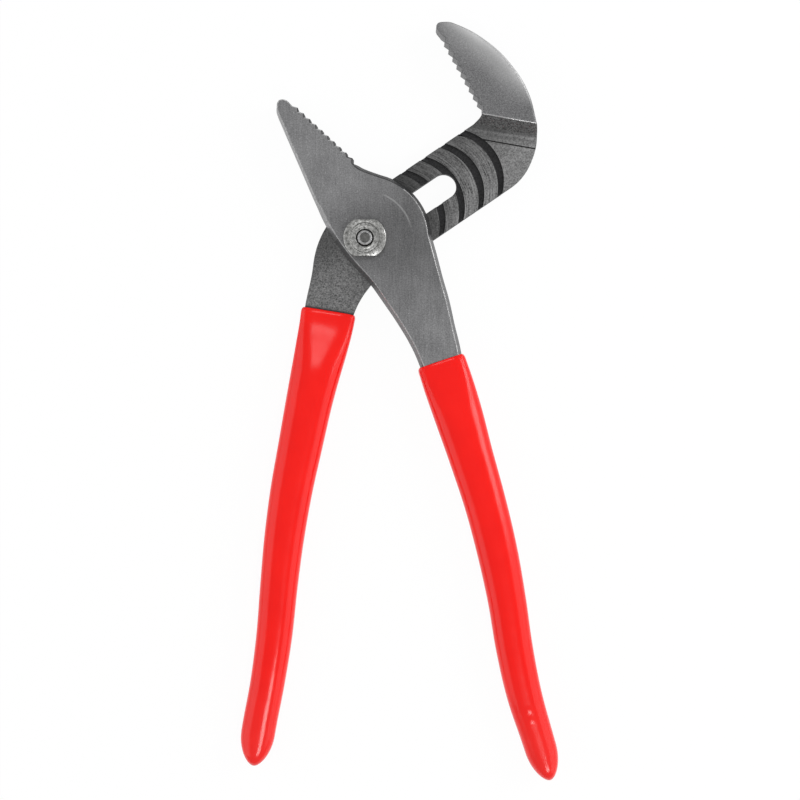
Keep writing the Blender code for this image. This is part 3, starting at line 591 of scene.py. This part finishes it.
# %% The back forging: its finishes
JAW_FOOT = 44 * MM
JAW_RIM = 2 * MM
RIM_SLOPE = 0.15
TOWARDS_HANDLES = -0.2
TEETH_FOOT = 52.5 * MM
STEP_EDGE = 0.4 * MM


def back_finish(face):
    """The finish of a face of the back forging."""
    place = face.calc_center_median()
    lowest = min(vertex.co.z for vertex in face.verts)
    highest = max(vertex.co.z for vertex in face.verts)
    if face.normal.z > FACING and lowest > FRONT_FACE - NEAR:
        return polished_steel_with_highlight
    if face.normal.z > FACING and abs(place.z - ARM_FACE) < NEAR:
        on_lands = 0 < arc_number_of(place) < (GROOVE_COUNT - 1) * GROOVE_PITCH
        return milled_steel if on_lands else blasted_steel
    if BACK_FACE + NEAR < lowest and highest < ARM_FACE + NEAR and place.z < ARM_FACE - NEAR:
        return near_black_groove
    if is_step(face):
        return step_scale
    if face.normal.z < -FACING:
        return ground_steel
    if face.normal.z > RIM_SLOPE and lowest > FRONT_FACE - JAW_RIM:
        on_step = face.normal.y < TOWARDS_HANDLES and place.y < TEETH_FOOT
        return bright_edge if on_step else polished_steel_with_highlight
    return cut_edge if place.y > JAW_FOOT else forging_scale


shape = whole_faces("back_half")
step_edges = [edge for edge in shape.edges if any(is_step(face) for face in edge.link_faces)
              and all(vertex.co.z > FRONT_FACE - NEAR for vertex in edge.verts)]
bmesh.ops.bevel(shape, geom=step_edges, offset=STEP_EDGE, segments=2, profile=0.5, affect="EDGES")
finished_piece(
    "back_forging", shape, "back_half", "back_side",
    [polished_steel_with_highlight, milled_steel, blasted_steel, near_black_groove, step_scale, ground_steel, bright_edge,
     cut_edge, forging_scale], back_finish)
print(len(step_edges), "edges of the step rounded")

# %% [markdown]
# The front forging carries the straight jaw, the plate that laps over the arm, and the neck.
# Its flat faces are ground and its rim is worn bright, but the round side of the plate, which the belt
# can't reach, is still in scale. The teeth lean out towards the back, so their dark lower halves show.
# The lean could be cut with a boolean, but moving the points that are there keeps the mesh clean.

# %% The front forging: its finishes
RIM = 0.6 * MM
WORN_SLOPE = 0.35
STEEP_FLANK = 0.2
SCALE_RADIUS = 33 * MM
SCALE_START = math.radians(0)
SCALE_END = math.radians(108)
RUBBED_TO = math.radians(50)
NECK_TOP = 0 * MM
FRONT_TEETH = (Vector((-28.85 * MM, 52.55 * MM)), Vector((-4.75 * MM, 30.25 * MM)))


def front_finish(face):
    """The finish of a face of the front forging."""
    if abs(face.normal.z) > FACING:
        return ground_steel
    place = face.calc_center_median()
    bearing = math.atan2(place.y, place.x)
    in_scale = place.xy.length < SCALE_RADIUS and SCALE_START < bearing < SCALE_END
    start, end = FRONT_TEETH
    on_teeth = beside_teeth(place, start, end)
    steep = on_teeth and face.normal.xy.dot((end - start).normalized()) > STEEP_FLANK
    if steep or (in_scale and bearing > RUBBED_TO):
        return forging_scale
    if face.normal.z > WORN_SLOPE and min(vertex.co.z for vertex in face.verts) > FRONT_FACE - RIM:
        return worn_edge
    if in_scale or on_teeth:
        return forging_scale
    # The left walls above the bolt get the copy that is painted lighter, as if lit from the left.
    return ground_wall_painted_lit if place.x < 0 and place.y > NECK_TOP else cut_edge


print("scale within", SCALE_RADIUS / MM, "mm of the bolt")

# %% The front forging: its leaning teeth
TOOTH_LEAN = 0.6 * MM
LEAN_REACH = 14 * MM

shape = whole_faces("front_half")
start, end = FRONT_TEETH
out = Vector((start.y - end.y, end.x - start.x)).normalized()
for vertex in shape.verts:
    if beside_teeth(vertex.co, start, end):
        deep = (FRONT_FACE - vertex.co.z) / (FRONT_FACE - BACK_FACE)
        vertex.co.xy += out * TOOTH_LEAN * deep * min((vertex.co.xy - start).length / LEAN_REACH, 1)
finished_piece(
    "front_forging", shape, "front_half", "front_side",
    [ground_steel, worn_edge, ground_wall_painted_lit, cut_edge, forging_scale], front_finish)

# %% [markdown]
# The nut is steel with a coat of bright zinc, put on by electroplating. It is pale and a little milky,
# and stained where it was handled. Layers of grease could be built up one by one,
# but at this size one noise for the stains, which also dulls and dents the coat, looks the same.

# %% Zinc plate
STAIN = 1.1 * MM
STAIN_CONTRAST = {"From Min": 0.34, "From Max": 0.64}
ZINC_ROUGHNESS = {"To Min": 0.45, "To Max": 0.2}
STAIN_RELIEF = 0.12 * MM

zinc_plate, tree, shader = new_finish("zinc_plate", Metallic=0.9)
place = add_node(tree, "ShaderNodeTexCoord", output="Object")
stains = {"Vector": place, "Scale": 1 / STAIN, "Detail": 4, "Roughness": 0.65}
stains = add_node(tree, "ShaderNodeTexNoise", stains)
tone = add_node(tree, "ShaderNodeMapRange", {"Value": stains, **STAIN_CONTRAST})
greys = {"Factor": tone, COLOUR_A: colour("#666664"), COLOUR_B: colour("#bcbcba")}
paint = add_node(tree, "ShaderNodeMix", greys, COLOUR_OUT, data_type="RGBA")
rough = add_node(tree, "ShaderNodeMapRange", {"Value": stains, **ZINC_ROUGHNESS})
bump = add_node(tree, "ShaderNodeBump", {"Height": stains, "Strength": 0.4, "Distance": STAIN_RELIEF})
link_patterns(tree, shader, Base_Color=paint, Roughness=rough, Normal=bump)
print("stains", STAIN / MM, "mm")

# %% [markdown]
# The nut was turned on a lathe and then milled to two flats. Its top curves down to the rim,
# with a sunk ring in it and a bead round the bore.
# A screw modifier could turn the outline, but it can't make the flats.
# So a loop turns it, and every point that stands past a flat is brought back to it.

# %% The nut
# Its outline is a list of radii and heights in mm, from the foot of the bore round to the top of the bore.
NUT_OUTLINE = (
    (3.2, 14.7), (8.2, 14.7), (8.5, 15.0), (8.5, 17.6), (8.47, 17.74), (8.4, 17.85), (8.28, 17.93),
    (8.1, 17.99), (7.6, 18.13), (7.0, 18.27), (6.5, 18.36), (6.15, 18.4), (6.0, 18.38), (5.9, 18.28),
    (5.78, 18.08), (5.66, 17.97), (5.45, 17.92), (4.9, 17.9), (4.4, 17.93), (4.1, 18.04), (3.8, 18.08),
    (3.55, 18.0), (3.35, 17.8), (3.2, 17.5),
)
NUT_FLATS = 14.4 * MM
LATHE_POINTS = 96

shape = bmesh.new()
turns = [2 * math.pi * i / LATHE_POINTS for i in range(LATHE_POINTS)]
rings = []
for radius, height in NUT_OUTLINE:
    points = [Vector((radius * math.cos(turn), radius * math.sin(turn), height)) * MM for turn in turns]
    for point in points:
        point.y = min(max(point.y, -NUT_FLATS / 2), NUT_FLATS / 2)
    rings.append([shape.verts.new(point) for point in points])
for near, far in zip(rings, rings[1:] + rings[:1]):
    for i in range(LATHE_POINTS):
        shape.faces.new((near[i - 1], near[i], far[i], far[i - 1])).smooth = True
bmesh.ops.recalc_face_normals(shape, faces=shape.faces)
for edge in shape.edges:
    edge.smooth = edge.calc_face_angle() < SHARP
finished_piece("plated_nut", shape, "pivot_nut", "pivot", [zinc_plate], lambda face: zinc_plate)

# %% [markdown]
# The bolt is plain steel, dull from the lathe. The tool leaves rings about the bolt's axis,
# which stains then cover. A picture of rings would have to be fitted to the bolt; noise that depends on
# nothing but the distance from the axis gives rings by itself.

# %% Turned steel
TOOL_MARK = 0.25 * MM
TURNED_STAIN_SHARE = 0.6
TURNED_CONTRAST = {"From Min": 0.3, "From Max": 0.7}
TURNED_RELIEF = 0.06 * MM

turned_steel, tree, shader = new_finish("turned_steel", Metallic=0.9, Roughness=0.42)
place = add_node(tree, "ShaderNodeTexCoord", output="Object")
reach = add_node(tree, "ShaderNodeVectorMath", {0: place, 1: NO_HEIGHT}, operation="MULTIPLY")
reach = add_node(tree, "ShaderNodeVectorMath", {0: reach}, "Value", operation="LENGTH")
rings = add_node(tree, "ShaderNodeMath", {0: reach, 1: 1 / TOOL_MARK}, operation="MULTIPLY")
rings = add_node(tree, "ShaderNodeTexNoise", {"W": rings, "Scale": 1, "Detail": 2}, noise_dimensions="1D")
stains = add_node(tree, "ShaderNodeTexNoise", {"Vector": place, "Scale": 1 / STAIN, "Detail": 4})
tone = add_node(tree, "ShaderNodeMix", {"Factor": TURNED_STAIN_SHARE, "A": rings, "B": stains})
tone = add_node(tree, "ShaderNodeMapRange", {"Value": tone, **TURNED_CONTRAST})
greys = {"Factor": tone, COLOUR_A: colour("#464646"), COLOUR_B: colour("#7c7c7a")}
paint = add_node(tree, "ShaderNodeMix", greys, COLOUR_OUT, data_type="RGBA")
bump = add_node(tree, "ShaderNodeBump", {"Height": tone, "Strength": 0.3, "Distance": TURNED_RELIEF})
link_patterns(tree, shader, Base_Color=paint, Normal=bump)
print("tool marks", TOOL_MARK / MM, "mm")

# %% [markdown]
# The bolt's end was peened, so that the nut can't come off: hammering raises a bright lip round a dish.
# It could be turned like the nut, but the rest of the bolt is right as it is in the frame.
# So its end face is inset twice, the second time downwards.

# %% The bolt
LIP_WIDTH = 0.55 * MM
DISH_WALL = LIP_WIDTH / 2
DISH_DEPTH = 0.45 * MM

shape = whole_faces("pivot_bolt")
facing_up = [face for face in shape.faces if face.normal.z > FACING]
bolt_end = max(facing_up, key=lambda face: face.calc_center_median().z)
lip_top = bolt_end.calc_center_median().z
for thickness, depth in ((LIP_WIDTH, 0), (DISH_WALL, -DISH_DEPTH)):
    bmesh.ops.inset_region(shape, faces=[bolt_end], thickness=thickness, depth=depth, use_even_offset=True)


def bolt_finish(face):
    """Bright on the hammered lip, dull elsewhere."""
    place = face.calc_center_median()
    on_lip = place.z > lip_top - DISH_DEPTH and place.xy.length > LIP_WIDTH
    return worn_edge if on_lip else turned_steel


finished_piece("peened_bolt", shape, "pivot_bolt", "pivot",
               [turned_steel, worn_edge], bolt_finish)

# %% [markdown]
# Dipped vinyl is soft PVC: each hot tang is lowered into the liquid, which sets on it as a thick skin.
# It is glossy and strongly red, with slow waves from dipping, a little dust, and paler ends from wear.
# In the right grip's skin two small bubbles of air were caught.
# Waves and bubbles could be modelled, but they are a tenth of a millimetre high, so a bump draws them.

# %% Dipped vinyl
WAVE = 9 * MM
WAVE_RELIEF = 0.4 * MM
VINYL_ROUGHNESS = {"To Min": 0.14, "To Max": 0.22}
DUST = 0.8 * MM
DUST_RANGE = {"From Min": 0.7, "From Max": 0.8}
DUST_RISE = 0.05
WORN_END = {"From Min": -170 * MM, "From Max": -216 * MM, "To Max": 0.3}
BUBBLES = ((64.9, -187.6), (66.0, -191.7))    # in mm
BUBBLE_SIZE = 2.1 * MM
BUBBLE_RISE = 0.85


def vinyl_paint(tree, place, waves):
    """Red that changes a little with the waves, and is paler towards the worn end of a grip."""
    reds = {"Factor": waves, COLOUR_A: colour("#e70600"), COLOUR_B: colour("#f10c00")}
    paint = add_node(tree, "ShaderNodeMix", reds, COLOUR_OUT, data_type="RGBA")
    up_the_tool = add_node(tree, "ShaderNodeSeparateXYZ", {0: place}, "Y")
    worn = add_node(tree, "ShaderNodeMapRange", {"Value": up_the_tool, **WORN_END})
    paler = {"Factor": worn, COLOUR_A: paint, COLOUR_B: colour("#dc3e3a")}
    return add_node(tree, "ShaderNodeMix", paler, COLOUR_OUT, data_type="RGBA")


def vinyl_finish(name, bubbles):
    """Glossy red skin, with bubbles at the given places."""
    finish, tree, shader = new_finish(name, Specular_IOR_Level=0.36)
    place = add_node(tree, "ShaderNodeTexCoord", output="Object")
    waves = add_node(tree, "ShaderNodeTexNoise", {"Vector": place, "Scale": 1 / WAVE, "Detail": 1})
    dust = add_node(tree, "ShaderNodeTexNoise", {"Vector": place, "Scale": 1 / DUST, "Detail": 2})
    dust = add_node(tree, "ShaderNodeMapRange", {"Value": dust, **DUST_RANGE})
    relief = add_node(tree, "ShaderNodeMath", {0: dust, 1: DUST_RISE, 2: waves}, operation="MULTIPLY_ADD")
    for x, y in bubbles:
        level = add_node(tree, "ShaderNodeVectorMath", {0: place, 1: NO_HEIGHT}, operation="MULTIPLY")
        far = {0: level, 1: (x * MM, y * MM, 0)}
        far = add_node(tree, "ShaderNodeVectorMath", far, "Value", operation="DISTANCE")
        dome = {"Value": far, "From Min": BUBBLE_SIZE, "From Max": 0}
        dome = add_node(tree, "ShaderNodeMapRange", dome, interpolation_type="SMOOTHSTEP")
        raised = {0: dome, 1: BUBBLE_RISE, 2: relief}
        relief = add_node(tree, "ShaderNodeMath", raised, operation="MULTIPLY_ADD")
    rough = add_node(tree, "ShaderNodeMapRange", {"Value": waves, **VINYL_ROUGHNESS})
    bump = add_node(tree, "ShaderNodeBump", {"Height": relief, "Strength": 0.25, "Distance": WAVE_RELIEF})
    link_patterns(tree, shader, Base_Color=vinyl_paint(tree, place, waves), Roughness=rough, Normal=bump)
    return finish


red_vinyl = vinyl_finish("dipped_vinyl", ())
bubbled_vinyl = vinyl_finish("bubbled_vinyl", BUBBLES)
print("waves", WAVE / MM, "mm,", len(BUBBLES), "bubbles")

# %% [markdown]
# A dipped skin has no sharp edge anywhere. It is thin at the mouth, where it was trimmed against the neck,
# its section is a rounded slab, and its end closes in to a slight point, where the last drop hung.
# A subdivided box could be pushed into that form, but its width and height are known along the way.
# So a few rows give them, a smooth curve runs through the rows, and rings of points follow that curve.

# %% Rows of sizes along each grip
# Each row is one place along a grip, from its mouth to its tip: centre x and y, width, bottom and top, in mm.
BACK_GRIP = (
    (-14.7, -28.5, 22.1, 1.95, 9.45),
    (-15.6, -34.0, 21.7, 1.8, 9.8),
    (-17.6, -43.4, 20.9, 1.5, 11.75),
    (-19.6, -52.0, 19.9, 1.35, 13.45),
    (-22.0, -62.6, 18.9, 1.2, 13.9),
    (-25.9, -81.8, 17.8, 1.0, 13.8),
    (-29.7, -101.0, 16.9, 0.8, 13.6),
    (-32.6, -120.2, 16.0, 0.6, 13.4),
    (-34.7, -139.4, 15.1, 0.4, 13.2),
    (-36.5, -158.6, 14.5, 0.25, 13.0),
    (-39.3, -177.8, 13.9, 0.15, 12.8),
    (-42.9, -196.9, 13.8, 0.1, 12.6),
    (-44.9, -211.0, 13.6, 0.1, 12.4),
)
FRONT_GRIP = (
    (30.1, -48.6, 19.6, 3.9, 15.35),
    (33.2, -57.8, 20.0, 2.6, 15.2),
    (36.4, -67.4, 19.7, 2.0, 14.9),
    (42.3, -86.6, 18.0, 1.7, 14.6),
    (48.1, -105.8, 16.9, 1.4, 14.3),
    (52.9, -125.0, 16.3, 1.1, 14.0),
    (56.7, -144.2, 15.4, 0.8, 13.7),
    (59.7, -163.4, 14.9, 0.5, 13.4),
    (63.8, -182.6, 14.2, 0.25, 13.0),
    (69.0, -199.6, 13.2, 0.1, 12.6),
    (74.2, -216.6, 12.6, 0.1, 12.4),
)
print(len(BACK_GRIP), "rows for the back grip and", len(FRONT_GRIP), "for the front one")

# %% A smooth curve through the rows
def row_distances(rows):
    """The distance of each row from the first one, along their centres."""
    steps = np.diff(rows[:, :2], axis=0)
    return np.concatenate([[0], np.cumsum(np.hypot(steps[:, 0], steps[:, 1]))])


def row_at(rows, spot):
    """The row at a distance from the mouth, on a smooth curve through the given rows."""
    reach = row_distances(rows)
    slopes = np.gradient(rows, reach, axis=0)
    i = int(np.clip(np.searchsorted(reach, spot) - 1, 0, len(rows) - 2))
    span = reach[i + 1] - reach[i]
    t = (spot - reach[i]) / span
    return (rows[i] * (1 + 2 * t) * (1 - t) ** 2 + slopes[i] * span * t * (1 - t) ** 2
            + rows[i + 1] * t * t * (3 - 2 * t) + slopes[i + 1] * span * t * t * (t - 1))


def ease(value, start, end):
    """0 up to a start, 1 from an end on, and smooth in between."""
    t = min(max((value - start) / (end - start), 0), 1)
    return t * t * (3 - 2 * t)


print("back grip", round(row_distances(np.array(BACK_GRIP))[-1], 1), "mm long")

# %% A ring of points across a grip
TIP_LENGTH = 13.5 * MM
TIP_BLUNTNESS = 0.6
TIP_POINT = 2       # how late the width closes in towards the tip
TIP_FLATNESS = 8    # how late the height does
RING_POINTS = 64
NUDGE = 0.1 * MM


def section(rows, spot, draw_in, draw_down, square, droop):
    """A ring of points round a rounded slab across the handle, the squarer the higher its square is."""
    length = row_distances(rows)[-1]
    x, y, width, bottom, top = row_at(rows, spot)
    top -= droop
    run = row_at(rows, spot + NUDGE)[:2] - row_at(rows, spot - NUDGE)[:2]
    side = Vector((-run[1], run[0], 0)).normalized()
    to_tip = min(max((spot - length + TIP_LENGTH) / TIP_LENGTH, 0), 1)
    half_width = width / 2 * (1 - to_tip ** TIP_POINT) ** TIP_BLUNTNESS - draw_in
    half_height = (top - bottom) / 2 * (1 - to_tip ** TIP_FLATNESS) ** TIP_BLUNTNESS - draw_down
    centre = Vector((x, y, (top + bottom) / 2))
    ring = []
    for i in range(RING_POINTS):
        turn = 2 * math.pi * i / RING_POINTS
        across = math.copysign(abs(math.cos(turn)) ** (2 / square), math.cos(turn)) * half_width
        up = math.copysign(abs(math.sin(turn)) ** (2 / square), math.sin(turn)) * half_height
        ring.append(centre + side * across + Vector((0, 0, up)))
    return ring


print(RING_POINTS, "points to a ring")

# %% The hollow of a grip, which the tang fills
RAMP = 24 * MM
WALL_AT_MOUTH = 0.7 * MM
WALL = 1.4 * MM
TOP_SHARE = 0.75
HOLLOW_SQUARE_AT_MOUTH = 9.0
HOLLOW_SQUARE = 5.0
HOLLOW_STEP = 5 * MM
BLIND_END = 9 * MM
MOUTH_ROUND = 1.9 * MM
HOLLOW_STOP = MOUTH_ROUND / 2
HOLLOW_RIM = MOUTH_ROUND / 8
DROOP_REACH = 48 * MM


def hollow_rings(rows, droop):
    """The rings of the hollow, from its blind end to the mouth."""
    length = row_distances(rows)[-1]
    spots = np.arange(length - BLIND_END, HOLLOW_STOP, -HOLLOW_STEP)
    rings = []
    for spot in [*spots, HOLLOW_RIM]:
        full = ease(spot, 0, RAMP)
        lowered = droop * ease(spot, length - DROOP_REACH, length)
        wall = WALL_AT_MOUTH + (WALL - WALL_AT_MOUTH) * full
        top_wall = wall * (TOP_SHARE + (1 - TOP_SHARE) * full)
        square = HOLLOW_SQUARE_AT_MOUTH + (HOLLOW_SQUARE - HOLLOW_SQUARE_AT_MOUTH) * full
        rings.append(section(rows, spot, wall, top_wall, square, lowered))
    return rings


print("walls", WALL_AT_MOUTH / MM, "to", WALL / MM, "mm")

# %% The outside of a grip
MOUTH_SIDE = 1.0 * MM
MOUTH_TOP = 0.5 * MM
SQUARE_AT_MOUTH = 4.0
SQUARE = 2.3
LIP_RINGS = 8
TIP_RINGS = 16
RING_STEP = 2.5 * MM
TRIM = 0.06 * MM    # keeps the smooth tips inside the frame's tips, which have flat facets


def outside_rings(rows, droop):
    """The rings of the outside: the rolled lip of the mouth, the body and the tip."""
    length = row_distances(rows)[-1]
    lip = [MOUTH_ROUND * (1 - math.cos(math.pi / 2 * i / LIP_RINGS)) for i in range(LIP_RINGS)]
    body = list(np.arange(MOUTH_ROUND, length - TIP_LENGTH, RING_STEP))
    tip = [length - TIP_LENGTH * (1 - math.sin(math.pi / 2 * i / TIP_RINGS)) for i in range(TIP_RINGS)]
    rings = []
    for spot in lip + body + tip:
        closing = max(1 - spot / MOUTH_ROUND, 0)
        rolled = 1 - math.sqrt(1 - closing ** 2)
        square = SQUARE_AT_MOUTH + (SQUARE - SQUARE_AT_MOUTH) * ease(spot, 0, RAMP)
        lowered = droop * ease(spot, length - DROOP_REACH, length)
        trim = TRIM * ease(spot, length - DROOP_REACH, length - TIP_LENGTH)
        rings.append(section(rows, spot, trim + MOUTH_SIDE * rolled, MOUTH_TOP * rolled, square, lowered))
    return rings


print("lip rolled over", MOUTH_ROUND / MM, "mm")

# %% [markdown]
# Each grip is then one closed skin: its rings run out of the hollow, round the lip and along the outside,
# and a face closes the blind end and the tip. The back grip's end droops a little.
# A solidify modifier could thicken a single sheet, but its wall would be even, and a dipped one isn't.

# %% The grips
BACK_DROOP = 1.4 * MM
FRONT_DROOP = 0 * MM


def grip_shape(rows, droop):
    """The skin of a grip, from the blind end of its hollow to its tip."""
    rows = np.array(rows) * MM
    shape = bmesh.new()
    rings = hollow_rings(rows, droop) + outside_rings(rows, droop)
    loops = [[shape.verts.new(place) for place in ring] for ring in rings]
    for near, far in zip(loops, loops[1:]):
        for i in range(RING_POINTS):
            shape.faces.new((near[i - 1], near[i], far[i], far[i - 1]))
    shape.faces.new(loops[0])
    shape.faces.new(loops[-1])
    bmesh.ops.recalc_face_normals(shape, faces=shape.faces)
    for face in shape.faces:
        face.smooth = True
    return shape


finished_piece("back_skin", grip_shape(BACK_GRIP, BACK_DROOP), "back_grip", "back_side",
               [red_vinyl], lambda face: red_vinyl)
finished_piece("front_skin", grip_shape(FRONT_GRIP, FRONT_DROOP), "front_grip", "front_side",
               [bubbled_vinyl], lambda face: bubbled_vinyl)
